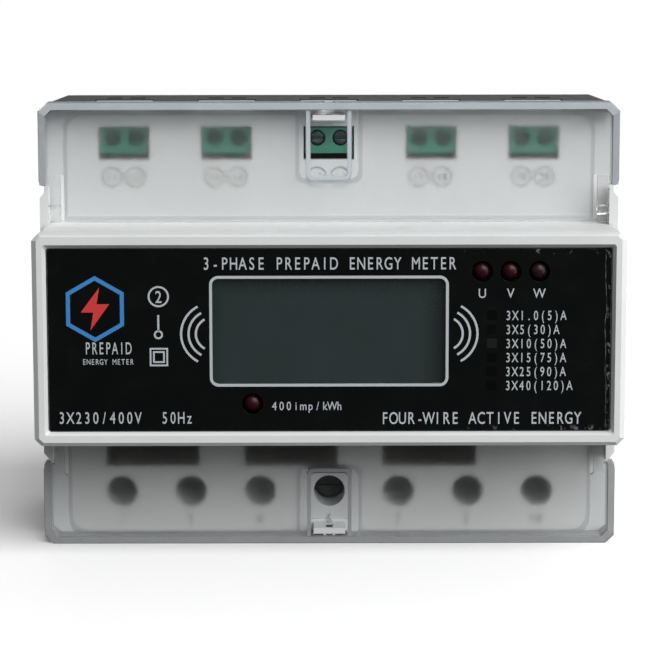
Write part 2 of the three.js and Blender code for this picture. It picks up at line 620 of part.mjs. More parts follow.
// ---------------------------------------------------------------- housing screws
function housingScrew(x, z) {
  const head = rodY(x, z, BOLT.head, [BOLT.seat + GAP, BOLT.seat + GAP + 2.2], 14);
  const shaft = rodY(x, z, BOLT.shaft, [-24, BOLT.seat + 1], 8);
  const arms = [box([x - 1.8, x + 1.8], [4.3, 7], [z - 0.4, z + 0.4]),
    box([x - 0.4, x + 0.4], [4.3, 7], [z - 1.8, z + 1.8])];
  return cut(join(head, shaft), ...arms);
}

// ---------------------------------------------------------------- assembly
place('front_housing', frontHousing(), 'white_plastic');
place('rear_base', rearBase(), 'dark_plastic');
place('label_plate', labelPlate(), 'label_black');
place('display_window', displayWindow(), 'window');
place('upper_terminal_cover', terminalCover(1), 'clear_plastic');
place('lower_terminal_cover', terminalCover(-1), 'clear_plastic');

place('lcd_glass', box([-27, 27], [-60.2, -58.6], [-11.3, 14.4]), 'lcd_glass');
place('lcd_backlight', box([-27, 27], [-58.3, -55.9], [-11.3, 14.4]), 'backlight');
place('display_board', prismY(centred(50, 16.8, 1), [-54.6, -53]), 'circuit_board');
place('card_antenna_coil', antennaCoil(), 'copper');
Object.entries(LEDS).forEach(([name, centre]) => place(name, led(centre), 'led_red'));

place('power_board', prismY(cutRectangle([-50, 50], [-21, 33.5], 1), [-32.1, -30.5]), 'circuit_board');
place('power_transformer', powerTransformer(), 'transformer_tape');
place('backup_battery', backupBattery(), 'battery_wrap');
place('smoothing_capacitor', capacitor(), 'capacitor_wrap');

phaseCentres.forEach((x, i) => {
  place(`relay_${i + 1}`, relay(x), 'relay_case');
  place(`current_transformer_${i + 1}`, currentTransformer(x - MAIN_PITCH / 2), 'core_blue');
});
place('neutral_busbar', neutralBusbar(mainCentres[6]), 'copper');

mainCentres.forEach((x, i) => {
  place(`main_screw_${i + 1}`, mainScrew(x), 'steel');
  place(`main_cage_${i + 1}`, mainCage(x), 'brass');
});

signalCentres.forEach((x, i) => {
  place(`signal_terminal_${i + 1}`, signalTerminal(x), 'terminal_green');
  [x - SIGNAL_POLE, x + SIGNAL_POLE].forEach((pole, side) => {
    place(`signal_screw_${2 * i + side + 1}`, signalScrew(pole), 'steel');
  });
});

place('rail_clip', railClip(), 'clip_grey');
place('clip_spring', clipSpring(), 'steel');
sides.flatMap((sideZ) => sides.map((sideX) => [BOLT.x * sideX, BOLT.z * sideZ])).forEach(([x, z], i) => {
  place(`housing_screw_${i + 1}`, housingScrew(x, z), 'steel');
});

export default meter;
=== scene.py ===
"""Looks of a three-phase prepaid electricity meter for a 35 mm rail, in metres.

X runs along the rail, Z is up and -Y is the front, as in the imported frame.
"""
import json
import math

import bmesh
import bpy
from mathutils import Matrix, Vector


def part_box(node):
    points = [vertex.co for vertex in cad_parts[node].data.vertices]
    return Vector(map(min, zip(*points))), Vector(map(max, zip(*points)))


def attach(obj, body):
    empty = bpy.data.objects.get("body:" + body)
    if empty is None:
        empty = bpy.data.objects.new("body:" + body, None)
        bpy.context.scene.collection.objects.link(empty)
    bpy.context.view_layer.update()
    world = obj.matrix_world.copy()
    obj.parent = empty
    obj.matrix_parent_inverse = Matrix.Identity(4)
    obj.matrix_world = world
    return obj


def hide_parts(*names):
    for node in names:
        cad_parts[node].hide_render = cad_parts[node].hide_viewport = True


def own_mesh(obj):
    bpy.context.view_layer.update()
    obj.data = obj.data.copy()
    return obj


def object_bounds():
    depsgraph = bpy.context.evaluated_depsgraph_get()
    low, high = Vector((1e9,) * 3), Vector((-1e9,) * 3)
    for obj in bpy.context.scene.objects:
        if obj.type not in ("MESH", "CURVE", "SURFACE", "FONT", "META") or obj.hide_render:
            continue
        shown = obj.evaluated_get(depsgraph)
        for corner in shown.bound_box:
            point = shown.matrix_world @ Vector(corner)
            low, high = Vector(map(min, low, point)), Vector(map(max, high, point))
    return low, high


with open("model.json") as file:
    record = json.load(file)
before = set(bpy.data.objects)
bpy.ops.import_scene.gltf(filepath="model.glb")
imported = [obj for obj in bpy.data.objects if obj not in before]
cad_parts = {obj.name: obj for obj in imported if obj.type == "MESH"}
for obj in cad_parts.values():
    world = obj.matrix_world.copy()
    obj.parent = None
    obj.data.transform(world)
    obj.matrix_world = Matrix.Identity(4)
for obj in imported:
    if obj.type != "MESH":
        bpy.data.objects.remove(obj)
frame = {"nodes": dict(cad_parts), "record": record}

MM = 0.001
cad_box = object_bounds()

# ---------------------------------------------------------------- places taken from the frame
LABEL_LOW, LABEL_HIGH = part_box("label_plate")
WINDOW_LOW, WINDOW_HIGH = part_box("display_window")
LABEL_FRONT = LABEL_LOW.y
LABEL_MIDDLE = (LABEL_LOW + LABEL_HIGH) / 2
SHELF_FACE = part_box("upper_terminal_cover")[1].y + 0.8 * MM
FLOOR_Z = cad_box[0].z


def middle(node):
    """The middle of a CAD node's box."""
    low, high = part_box(node)
    return (low + high) / 2


def numbered(name, count):
    """The names of repeated nodes, such as main_screw_1 to main_screw_7."""
    return [f"{name}_{number}" for number in range(1, count + 1)]


# ---------------------------------------------------------------- node materials
RAMP_SOCKETS = ("From Min", "From Max", "To Min", "To Max")


class Finish:
    """A node material with a Principled shader, and short calls that add texture nodes to it."""

    def __init__(self, name, color, roughness, metallic=0.0, **sockets):
        self.material = bpy.data.materials.new(name)
        self.material.use_nodes = True
        self.nodes = self.material.node_tree.nodes
        self.links = self.material.node_tree.links
        self.shader = self.nodes["Principled BSDF"]
        self.where = self.nodes.new("ShaderNodeTexCoord").outputs["Object"]
        self.shader.inputs["Base Color"].default_value = (*color, 1)
        self.shader.inputs["Roughness"].default_value = roughness
        self.shader.inputs["Metallic"].default_value = metallic
        for socket, value in sockets.items():
            self.shader.inputs[socket.replace("_", " ")].default_value = value

    def feed(self, target, value):
        """Links a socket to another node's output, or sets it to a plain value."""
        if hasattr(value, "links"):
            self.links.new(value, target)
        else:
            target.default_value = value

    def node(self, kind, **inputs):
        """A new node with its sockets fed, where an underscore in a socket's name stands for a space."""
        made = self.nodes.new(kind)
        for socket, value in inputs.items():
            self.feed(made.inputs[socket.replace("_", " ")], value)
        return made

    def noise(self, size, detail=3.0, distortion=0.0):
        """Noise whose features are about size metres across."""
        made = self.node("ShaderNodeTexNoise", Vector=self.where, Scale=1 / size, Detail=detail)
        made.inputs["Distortion"].default_value = distortion
        return made.outputs["Fac"]

    def uneven(self, size, detail, low, high):
        """Noise spread over low to high, from the middle range that it mostly keeps to."""
        return self.remap(self.noise(size, detail), 0.3, 0.7, low, high)

    def specks(self, spacing, size, share):
        """1 inside small round spots, one to each cell of that spacing, in a share of the cells."""
        cells = self.node("ShaderNodeTexVoronoi", Vector=self.where, Scale=1 / spacing)
        radius = size / spacing / 2
        spot = self.remap(cells.outputs["Distance"], radius, radius * 0.6, 0, 1)
        chosen = self.remap(cells.outputs["Color"], 1 - share, 1 - share + 0.01, 0, 1)
        return self.math("MULTIPLY", spot, chosen)

    def scratches(self, size, share, angle):
        """Thin broken lines in the plane of the front, turned by angle."""
        turned = self.node("ShaderNodeMapping", Vector=self.where, Rotation=(0, angle, 0)).outputs[0]
        long = self.node("ShaderNodeMapping", Vector=turned, Scale=(0.03, 1, 1)).outputs[0]
        lines = self.node("ShaderNodeTexNoise", Vector=long, Scale=1 / size, Detail=1.0)
        return self.remap(lines.outputs["Fac"], 1 - share, 1 - share + 0.02, 0, 1)

    def remap(self, value, low, high, to_low, to_high):
        """The value with its range from low to high stretched to another one, and held at its ends."""
        made = self.node("ShaderNodeMapRange", Value=value)
        for socket, number in zip(RAMP_SOCKETS, (low, high, to_low, to_high)):
            made.inputs[socket].default_value = number
        return made.outputs["Result"]

    def math(self, operation, first, second):
        made = self.nodes.new("ShaderNodeMath")
        made.operation = operation
        for target, value in zip(made.inputs, (first, second)):
            self.feed(target, value)
        return made.outputs[0]

    def mix(self, factor, first, second):
        """The first colour where factor is 0 and the second where it is 1."""
        made = self.nodes.new("ShaderNodeMix")
        made.data_type = "RGBA"
        self.links.new(factor, made.inputs["Factor"])
        for socket, value in (("A", first), ("B", second)):
            target = next(s for s in made.inputs if s.name == socket and s.type == "RGBA")
            self.feed(target, (*value, 1) if isinstance(value, tuple) else value)
        return next(s for s in made.outputs if s.type == "RGBA")

    def along(self, axis):
        """The place along an axis, X, Y or Z, in metres."""
        return self.node("ShaderNodeSeparateXYZ", Vector=self.where).outputs[axis]

    def border(self, axis, centre, half, width):
        """1 at both ends of a span along an axis, fading to 0 over width further in."""
        offset = self.math("ABSOLUTE", self.math("SUBTRACT", self.along(axis), centre), 0)
        return self.remap(offset, half - width, half, 0, 1)

    def crevice(self, distance):
        """1 in tight corners and 0 in the open."""
        made = self.node("ShaderNodeAmbientOcclusion", Distance=distance)
        made.samples = 6
        return self.remap(made.outputs["AO"], 0.85, 0.25, 0, 1)

    def paint(self, color):
        self.links.new(color, self.shader.inputs["Base Color"])

    def rough(self, value):
        self.links.new(value, self.shader.inputs["Roughness"])

    def relief(self, height, strength, depth):
        """Bumps that stand depth metres high where height is 1."""
        bump = self.node("ShaderNodeBump", Height=height, Strength=strength, Distance=depth)
        self.links.new(bump.outputs[0], self.shader.inputs["Normal"])


def shade(color, factor):
    return tuple(channel * factor for channel in color)


def moulding(name, color, roughness, depth=0.01 * MM, corner_shade=0.5):
    """Injection-moulded plastic: spark-eroded grain, slow colour drift, painted shade in corners, and
    specks.
    """
    grain = 0.12 * MM
    made = Finish(name, color, roughness)
    drift = made.noise(14 * MM, 4)
    tone = made.mix(drift, shade(color, 0.93), shade(color, 1.04))
    # Painted shade: the colour darkens in tight corners, found by the occlusion node.
    corner_shaded = made.mix(made.math("MULTIPLY", made.crevice(1.2 * MM), corner_shade), tone, shade(color, 0.35))
    spotted = made.mix(made.specks(2.6 * MM, 0.16 * MM, 0.22), corner_shaded, shade(color, 0.3))
    made.paint(spotted)
    made.rough(made.uneven(2.2 * MM, 5, roughness - 0.07, roughness + 0.08))
    made.relief(made.noise(grain, 2), 0.35, depth)
    return made.material


def clear_plastic(name, color, roughness):
    """Clear polycarbonate with fine scratches and a trace of dust."""
    made = Finish(name, color, roughness, Transmission_Weight=1.0, IOR=1.5)
    worn = made.math("MAXIMUM", made.scratches(0.25 * MM, 0.3, 0.4), made.scratches(0.3 * MM, 0.28, 2.1))
    wear = made.math("ADD", worn, made.noise(3 * MM, 4))
    made.rough(made.remap(wear, 0.3, 1.7, roughness, roughness + 0.12))
    made.paint(made.mix(made.noise(9 * MM), shade(color, 0.97), color))
    made.relief(made.noise(5 * MM, 1), 0.15, 0.02 * MM)
    return made.material


def frosting(name, tint):
    """The spark-eroded inner face of a clear cover, whose grain scatters what is seen behind it."""
    made = Finish(name, tint, 0.38, Transmission_Weight=1.0, IOR=1.33, Specular_IOR_Level=0.2)
    made.paint(made.mix(made.noise(8 * MM, 4), shade(tint, 0.97), shade(tint, 1.01)))
    made.rough(made.uneven(2 * MM, 3, 0.33, 0.43))
    made.relief(made.noise(0.35 * MM, 2), 1.0, 0.025 * MM)
    return made.material


def cloudy_plastic(name, milk):
    """Clear plastic seen along a wall, where the light scattered on its way makes it milky."""
    made = Finish(name, milk, 0.4, Transmission_Weight=0.15, IOR=1.4)
    made.paint(made.mix(made.noise(5 * MM, 4), shade(milk, 0.86), shade(milk, 1.06)))
    made.rough(made.uneven(1.5 * MM, 3, 0.3, 0.5))
    made.relief(made.noise(1.2 * MM, 3), 0.4, 0.05 * MM)
    return made.material


def metal(name, color, roughness, grain):
    """Plated or bare metal with a fine grain, and tarnish in patches."""
    made = Finish(name, color, roughness, metallic=1.0)
    tarnish = made.noise(1.5 * MM, 5)
    made.paint(made.mix(made.remap(tarnish, 0.35, 0.75, 0, 1), color, shade(color, 0.55)))
    made.rough(made.uneven(grain, 3, roughness - 0.1, roughness + 0.15))
    made.relief(made.noise(grain, 3), 0.3, 0.015 * MM)
    return made.material


def gloss_label():
    """Black polycarbonate label with dust, wiping marks, and scuffs and lifted spots at its edges."""
    black = (0.0022, 0.0025, 0.0026)
    made = Finish("label_black", black, 0.16, Specular_IOR_Level=0.25)
    dust = made.specks(1.7 * MM, 0.09 * MM, 0.1)
    wiped = made.math("MULTIPLY", made.scratches(0.2 * MM, 0.25, 0.25), 0.006)
    dusty = made.math("ADD", made.math("MULTIPLY", dust, 0.3), wiped)
    half = (LABEL_HIGH - LABEL_LOW) / 2
    ends = made.border("X", LABEL_MIDDLE.x, half.x, 1.1 * MM)
    sides = made.border("Z", LABEL_MIDDLE.z, half.z, 1.2 * MM)
    right = made.remap(made.along("X"), 0.45 * half.x, 0.7 * half.x, 0, 1)
    edge = made.math("MULTIPLY", made.math("MAXIMUM", ends, sides), right)
    flecks = made.remap(made.noise(1.4 * MM, 4, distortion=0.8), 0.6, 0.66, 0, 0.35)
    wander = made.uneven(7 * MM, 4, -0.3 * MM, 0.3 * MM)
    from_crease = made.math("SUBTRACT", made.math("ADD", made.along("X"), wander), LABEL_HIGH.x - 0.9 * MM)
    crease = made.remap(made.math("ABSOLUTE", from_crease, 0), 0.03 * MM, 0.12 * MM, 1, 0)
    broken = made.remap(made.noise(2 * MM, 3), 0.42, 0.6, 0.04, 0.25)
    worn = made.math("MAXIMUM", made.math("MULTIPLY", edge, flecks), made.math("MULTIPLY", crease, broken))
    made.paint(made.mix(made.math("ADD", dusty, worn), black, (0.4, 0.4, 0.38)))
    made.rough(made.uneven(6 * MM, 5, 0.12, 0.26))
    made.relief(made.noise(4 * MM, 2), 0.1, 0.02 * MM)
    return made.material


def varnish(name, color):
    """Glossy dark overprint on the label."""
    made = Finish(name, color, 0.18, Specular_IOR_Level=0.25)
    made.paint(made.mix(made.noise(1 * MM, 3), shade(color, 0.8), shade(color, 1.2)))
    made.rough(made.uneven(3 * MM, 3, 0.14, 0.24))
    made.relief(made.noise(2 * MM, 2), 0.1, 0.01 * MM)
    return made.material


def printed_ink(name, color):
    """Screen-printed ink: slightly uneven cover and a dry surface."""
    made = Finish(name, color, 0.5)
    made.paint(made.mix(made.noise(0.25 * MM, 3), shade(color, 0.8), color))
    made.rough(made.uneven(0.5 * MM, 3, 0.4, 0.6))
    made.relief(made.noise(0.1 * MM, 2), 0.2, 0.004 * MM)
    return made.material


def liquid_crystal():
    """The unlit display: dark green-grey glass, cloudy in the middle, with painted shade that makes it
    nearly black at its right, top and left edges.
    """
    dark = (0.0165, 0.0265, 0.0262)
    low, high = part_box("lcd_glass")
    made = Finish("lcd_glass", dark, 0.2, Specular_IOR_Level=0.3)
    cloud = made.mix(made.noise(12 * MM, 3), shade(dark, 0.85), shade(dark, 1.2))
    # Painted shade: darker towards the right, top and left edges of the glass.
    right = made.remap(made.along("X"), high.x - 8 * MM, high.x - 1.5 * MM, 0, 0.75)
    top = made.remap(made.along("Z"), high.z - 6 * MM, high.z - 1 * MM, 0, 0.35)
    left = made.remap(made.along("X"), low.x + 5 * MM, low.x + 1 * MM, 0, 0.45)
    painted_edge_shade = made.math("MAXIMUM", right, made.math("MAXIMUM", top, left))
    made.paint(made.mix(painted_edge_shade, cloud, (0.002, 0.003, 0.004)))
    made.rough(made.uneven(0.3 * MM, 3, 0.16, 0.28))
    made.relief(made.noise(0.15 * MM, 2), 0.1, 0.004 * MM)
    return made.material


def circuit_board():
    """Green solder mask over copper tracks that run on a square grid."""
    mask = (0.012, 0.085, 0.035)
    made = Finish("circuit_board", mask, 0.35)
    brick = made.node("ShaderNodeTexBrick", Scale=1 / (7 * MM), Color1=(0, 0, 0, 1), Color2=(0, 0, 0, 1))
    upright = made.node("ShaderNodeMapping", Vector=made.where, Rotation=(math.pi / 2, 0, 0)).outputs[0]
    made.links.new(upright, brick.inputs["Vector"])
    brick.inputs["Mortar"].default_value = (1, 1, 1, 1)
    brick.inputs["Mortar Size"].default_value = 0.03
    tracks = brick.outputs["Color"]
    made.paint(made.mix(tracks, mask, (0.03, 0.16, 0.06)))
    made.rough(made.uneven(0.8 * MM, 4, 0.28, 0.42))
    made.relief(tracks, 0.4, 0.03 * MM)
    return made.material


def winding(name, color, pitch):
    """Wire or tape wound in even turns."""
    made = Finish(name, color, 0.4)
    wave = made.node("ShaderNodeTexWave", Vector=made.where, Scale=0.31416 / pitch, Distortion=0.4)
    made.paint(made.mix(wave.outputs["Fac"], shade(color, 0.6), color))
    made.rough(made.uneven(0.7 * MM, 3, 0.3, 0.5))
    made.relief(wave.outputs["Fac"], 0.6, 0.08 * MM)
    return made.material


def lamp_red(name, red):
    """Dark red diffusing epoxy of an unlit lamp."""
    made = Finish(name, red, 0.3, Transmission_Weight=0.2, IOR=1.5, Specular_IOR_Level=0.15)
    made.paint(made.mix(made.noise(1.2 * MM, 2), shade(red, 0.6), red))
    made.rough(made.uneven(0.4 * MM, 3, 0.24, 0.4))
    made.relief(made.noise(0.6 * MM, 2), 0.1, 0.02 * MM)
    return made.material


FINISHES = {
    "white_plastic": moulding("white_plastic", (0.6, 0.61, 0.61), 0.42),
    "dark_plastic": moulding("dark_plastic", (0.02, 0.022, 0.024), 0.5, depth=0.02 * MM, corner_shade=0.2),
    "clear_plastic": clear_plastic("clear_plastic", (0.89, 0.905, 0.915), 0.03),
    # A darker copy of the white plastic: painted shade for the raised shelf numbers.
    "white_relief_painted_shade": moulding("white_relief_painted_shade", (0.4, 0.407, 0.407), 0.42),
    "cloudy_plastic": cloudy_plastic("cloudy_plastic", (0.5, 0.54, 0.565)),
    # Darker copies of the cloudy plastic: painted shade for the upper cover's side walls and for all of the
    # lower cover, which sits under the nose.
    "cloudy_plastic_side_painted_shade": cloudy_plastic("cloudy_plastic_side_painted_shade", (0.37, 0.385, 0.4)),
    "cloudy_plastic_low_painted_shade": cloudy_plastic("cloudy_plastic_low_painted_shade", (0.34, 0.345, 0.35)),
    "label_black": gloss_label(),
    "window": clear_plastic("window", (0.93, 0.96, 0.95), 0.02),
    "lcd_glass": liquid_crystal(),
    "backlight": moulding("backlight", (0.62, 0.66, 0.56), 0.45),
    "circuit_board": circuit_board(),
    "terminal_green": moulding("terminal_green", (0.045, 0.2, 0.135), 0.42, corner_shade=0.6),
    "steel": metal("steel", (0.5, 0.51, 0.52), 0.36, 0.2 * MM),
    "dull_steel": metal("dull_steel", (0.09, 0.12, 0.115), 0.5, 0.2 * MM),
    # Near-black steel: painted shade for the main screws deep in their holes and for the seal holes.
    "painted_shade_steel": metal("painted_shade_steel", (0.06, 0.062, 0.063), 0.5, 0.25 * MM),
    "brass": metal("brass", (0.62, 0.42, 0.16), 0.34, 0.25 * MM),
    "copper": metal("copper", (0.72, 0.32, 0.18), 0.34, 0.2 * MM),
    "relay_case": moulding("relay_case", (0.022, 0.019, 0.017), 0.42, corner_shade=0.3),
    "transformer_tape": winding("transformer_tape", (0.56, 0.36, 0.05), 0.6 * MM),
    "core_blue": winding("core_blue", (0.03, 0.09, 0.24), 1.1 * MM),
    "battery_wrap": moulding("battery_wrap", (0.06, 0.26, 0.09), 0.34),
    "capacitor_wrap": moulding("capacitor_wrap", (0.018, 0.02, 0.032), 0.32),
    "led_red": lamp_red("led_red", (0.032, 0.004, 0.0075)),
    "led_grey": lamp_red("led_grey", (0.023, 0.009, 0.0115)),
    "clip_grey": moulding("clip_grey", (0.045, 0.048, 0.05), 0.46, corner_shade=0.3),
    "ink": printed_ink("ink", (0.42, 0.455, 0.475)),
    "ink_red": printed_ink("ink_red", (0.55, 0.03, 0.03)),
    "ink_blue": printed_ink("ink_blue", (0.03, 0.2, 0.5)),
    "rating_square": varnish("rating_square", (0.001, 0.001, 0.0011)),
    "rating_mark": varnish("rating_mark", (0.009, 0.0095, 0.0095)),
    "frosting": frosting("frosting", (0.985, 0.975, 0.965)),
    # A darker frosting for the border line round the frosted field: a painted shadow line.
    "frosting_edge_painted_shade": frosting("frosting_edge_painted_shade", (0.78, 0.78, 0.78)),
}


# ---------------------------------------------------------------- carried-over CAD nodes
def smooth_faces_group():
    """A geometry node group that marks every face smooth."""
    group = bpy.data.node_groups.new("smooth_faces", "GeometryNodeTree")
    for direction in ("INPUT", "OUTPUT"):
        group.interface.new_socket("Geometry", in_out=direction, socket_type="NodeSocketGeometry")
    start = group.nodes.new("NodeGroupInput")
    smooth = group.nodes.new("GeometryNodeSetShadeSmooth")
    end = group.nodes.new("NodeGroupOutput")
    group.links.new(start.outputs[0], smooth.inputs["Geometry"])
    group.links.new(smooth.outputs[0], end.inputs[0])
    return group


SMOOTH_FACES = smooth_faces_group()
EDGE_RADIUS = 0.15 * MM


def soften(node):
    """Round edges on a CAD node, as a mould or a cutter leaves them."""
    piece = frame["nodes"][node]
    weld = piece.modifiers.new("weld", "WELD")
    weld.merge_threshold = 0.002 * MM
    bevel = piece.modifiers.new("round_edges", "BEVEL")
    bevel.width = EDGE_RADIUS
    bevel.segments = 2
    bevel.limit_method = "ANGLE"
    bevel.angle_limit = math.radians(32)
    piece.modifiers.new("smooth_faces", "NODES").node_group = SMOOTH_FACES
    smooth = piece.modifiers.new("even_shading", "WEIGHTED_NORMAL")
    smooth.keep_sharp = False


SPECIAL_FINISHES = {
    # The main screws take near-black steel, as painted shade for the deep holes they sit in.
    **dict.fromkeys(numbered("main_screw", 7), "painted_shade_steel"),
    **dict.fromkeys(numbered("signal_screw", 10), "dull_steel"),
    "led_w": "led_grey",
}


def dress_nodes():
    for row in frame["record"]["subparts"]:
        piece = frame["nodes"][row["node"]]
        finish = SPECIAL_FINISHES.get(row["node"], row["material_slot"])
        for material_slot in piece.material_slots:
            material_slot.material = FINISHES[finish]
        soften(row["node"])


dress_nodes()


# ---------------------------------------------------------------- shapes drawn in the front plane
SIDES = (1, -1)


def mesh_from(data, matrix):
    """The closed mesh of a curve or text, moved by matrix."""
    holder = bpy.data.objects.new("holder", data)
    mesh = bpy.data.meshes.new_from_object(holder)
    bpy.data.objects.remove(holder)
    mesh.transform(matrix)
    return mesh


def facing(y):
    """Stands a drawing of the XY plane up in the XZ plane at depth y."""
    return Matrix.Translation((0, y, 0)) @ Matrix.Rotation(math.pi / 2, 4, "X")


def plate(outlines, front, back):
    """A plate in XZ from front to back. The first outline is its edge, and the others are holes."""
    curve = bpy.data.curves.new("outline", "CURVE")
    curve.dimensions = "2D"
    curve.fill_mode = "BOTH"
    curve.extrude = abs(back - front) / 2
    for hole, outline in enumerate(outlines):
        turn = sum(a[0] * b[1] - b[0] * a[1] for a, b in zip(outline, outline[1:] + outline[:1]))
        ordered = outline if (turn > 0) == (hole == 0) else outline[::-1]
        spline = curve.splines.new("POLY")
        spline.points.add(len(ordered) - 1)
        for point, (x, z) in zip(spline.points, ordered):
            point.co = (x, z, 0, 1)
        spline.use_cyclic_u = True
    return mesh_from(curve, facing((front + back) / 2))


def arc(centre, radius, start, end, steps=12):
    """Points along an arc, its angles in degrees."""
    angles = [math.radians(start + (end - start) * step / steps) for step in range(steps + 1)]
    return [(centre[0] + radius * math.cos(a), centre[1] + radius * math.sin(a)) for a in angles]


def disc(centre, radius, steps=40):
    return arc(centre, radius, 0, 360 * (1 - 1 / steps), steps - 1)


def rounded(low, high, radius, steps=8):
    """A rectangle with round corners, from its low to its high corner."""
    (x0, z0), (x1, z1) = low, high
    centres = ((x1 - radius, z1 - radius), (x0 + radius, z1 - radius),
               (x0 + radius, z0 + radius), (x1 - radius, z0 + radius))
    return [p for turn, c in enumerate(centres) for p in arc(c, radius, turn * 90, turn * 90 + 90, steps)]


def around(middle_x, middle_z, half_x, half_z, radius=0.0):
    low = (middle_x - half_x, middle_z - half_z)
    high = (middle_x + half_x, middle_z + half_z)
    if radius:
        return rounded(low, high, radius)
    return [low, (high[0], low[1]), high, (low[0], high[1])]


def piece(name, meshes, finish, body, slot=None, smooth=35):
    """One object made of several closed meshes, that rides on a body."""
    joined = bmesh.new()
    for mesh in meshes:
        joined.from_mesh(mesh)
    bmesh.ops.remove_doubles(joined, verts=joined.verts, dist=1e-7)
    bmesh.ops.recalc_face_normals(joined, faces=joined.faces)
    for edge in joined.edges:
        edge.smooth = edge.calc_face_angle(math.pi) < math.radians(smooth)
    for face in joined.faces:
        face.smooth = True
    made_mesh = bpy.data.meshes.new(name)
    joined.to_mesh(made_mesh)
    joined.free()
    made_mesh.materials.append(FINISHES[finish])
    made = bpy.data.objects.new(name, made_mesh)
    bpy.context.scene.collection.objects.link(made)
    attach(made, body)
    return made


# ---------------------------------------------------------------- printing on the label
INK_FRONT = LABEL_FRONT - 0.03 * MM
INK_BACK = LABEL_FRONT + 0.02 * MM


def ink(*outlines):
    return plate(outlines, INK_FRONT, INK_BACK)


def glyph(letter, thickness):
    """One letter of Blender's own font as a closed plate, drawn a little bolder."""
    text = bpy.data.curves.new("glyph", "FONT")
    text.body = letter
    text.align_x = "CENTER"
    text.resolution_u = 4
    text.extrude = thickness / 2
    text.offset = 0.005
    return mesh_from(text, Matrix.Identity(4))


def lettering(words, left, base, pitch, height, front=INK_FRONT, back=INK_BACK):
    """Letters in equal cells, pitch wide and height high, that start at left and stand on base."""
    capital_height, letter_width = 0.73, 0.62
    filled = 0.84
    squeeze = Matrix.Diagonal((filled * pitch / letter_width, height / capital_height, 1, 1))
    meshes = []
    for index, letter in enumerate(words):
        if letter != " ":
            mesh = glyph(letter, abs(back - front))
            place = Matrix.Translation((left + (index + 0.5) * pitch, 0, base))
            mesh.transform(place @ facing((front + back) / 2) @ squeeze)
            meshes.append(mesh)
    return meshes


def frame_line(low, high, radius, stroke):
    """A rounded rectangle drawn as a line of that stroke, measured at its outside."""
    inner_low = (low[0] + stroke, low[1] + stroke)
    inner_high = (high[0] - stroke, high[1] - stroke)
    inner_radius = max(radius - stroke, 0.05 * MM)
    return ink(rounded(low, high, radius), rounded(inner_low, inner_high, inner_radius))


def ring(centre, radius, stroke):
    return ink(disc(centre, radius + stroke / 2), disc(centre, radius - stroke / 2))


def arc_stroke(centre, radius, stroke, start, end):
    outer = arc(centre, radius + stroke / 2, start, end, 24)
    return ink(outer + arc(centre, radius - stroke / 2, end, start, 24))


def card_waves():
    """Three arcs at each side of the display, where the card is held."""
    side_x, mid_z = 24.8 * MM, 1.0 * MM
    radii = (3.55 * MM, 5.1 * MM, 6.68 * MM)
    stroke = 0.47 * MM
    spread = 62
    meshes = []
    for side in SIDES:
        heading = 0 if side > 0 else 180
        centre = (side * side_x, mid_z)
        for radius in radii:
            meshes.append(arc_stroke(centre, radius, stroke, heading - spread, heading + spread))
    return meshes


def left_symbols():
    """Accuracy class in a ring, a connection sign and the double square of double insulation."""
    class_x, class_z, class_radius, class_stroke = -36.23 * MM, 9.05 * MM, 2.06 * MM, 0.39 * MM
    digit_pitch, digit_height = 2.2 * MM, 2.66 * MM
    digit_left, digit_base = class_x - digit_pitch / 2, class_z - digit_height / 2
    pin_x, pin_z, pin_half_x, pin_half_z = -36.3 * MM, 3.38 * MM, 0.2 * MM, 1.72 * MM
    eye_z, eye_radius, eye_stroke = 0.88 * MM, 0.78 * MM, 0.38 * MM
    squares_mm = (((-38.2, -5.91), (-34.29, -1.96)), ((-37.5, -5.2), (-34.98, -2.67)))
    square_corner, square_stroke = 0.08 * MM, 0.36 * MM
    meshes = [ring((class_x, class_z), class_radius, class_stroke)]
    meshes += lettering("2", digit_left, digit_base, digit_pitch, digit_height)
    meshes.append(ink(around(pin_x, pin_z, pin_half_x, pin_half_z)))
    meshes.append(ring((pin_x, eye_z), eye_radius, eye_stroke))
    for corners in squares_mm:
        low, high = ((x * MM, z * MM) for x, z in corners)
        meshes.append(frame_line(low, high, square_corner, square_stroke))
    return meshes


def ratings():
    """The list of current ratings, with a square that can be marked beside each."""
    lines = ("3X1.0(5)A", "3X5(30)A", "3X10(50)A", "3X15(75)A", "3X25(90)A", "3X40(120)A")
    left, first_z, line_step = 37.3 * MM, 4.95 * MM, 3.02 * MM
    pitch, height = 1.46 * MM, 2.1 * MM
    square_x, square_half = 34.56 * MM, 1.02 * MM
    marked = 2
    meshes = []
    for index, words in enumerate(lines):
        line_z = first_z - index * line_step
        meshes += lettering(words, left, line_z - height / 2, pitch, height)
        square = ink(around(square_x, line_z, square_half, square_half))
        finish = "rating_mark" if index == marked else "rating_square"
        piece(f"rating_square_{index + 1}", [square], finish, "meter_body", "label_black")
    return meshes


def label_words():
    """Generic wording in the places and sizes of the label's text."""
    rows = (  # words, then their left end, base line, pitch and height in millimetres
        ("3-PHASE PREPAID ENERGY METER", -27, 14.8, 1.93, 2.75),
        ("3X230/400V", -58.0, -18.33, 1.81, 2.63),
        ("50Hz", -36.0, -18.33, 1.75, 2.63),
        ("400imp/kWh", -12.5, -15.45, 1.54, 1.9),
        ("FOUR-WIRE ACTIVE ENERGY", 10.9, -18.5, 1.87, 2.7),
        ("PREPAID", -52.1, -3.3, 1.45, 2.7),
        ("U", 31.5, 8.68, 1.9, 2.09),
        ("V", 37.5, 8.68, 1.9, 2.09),
        ("W", 43.6, 8.68, 1.9, 2.09),
        ("ENERGY METER", -52.6, -5.55, 0.92, 1.25),
    )
    meshes = []
    for words, *sizes in rows:
        meshes += lettering(words, *(size * MM for size in sizes))
    return meshes


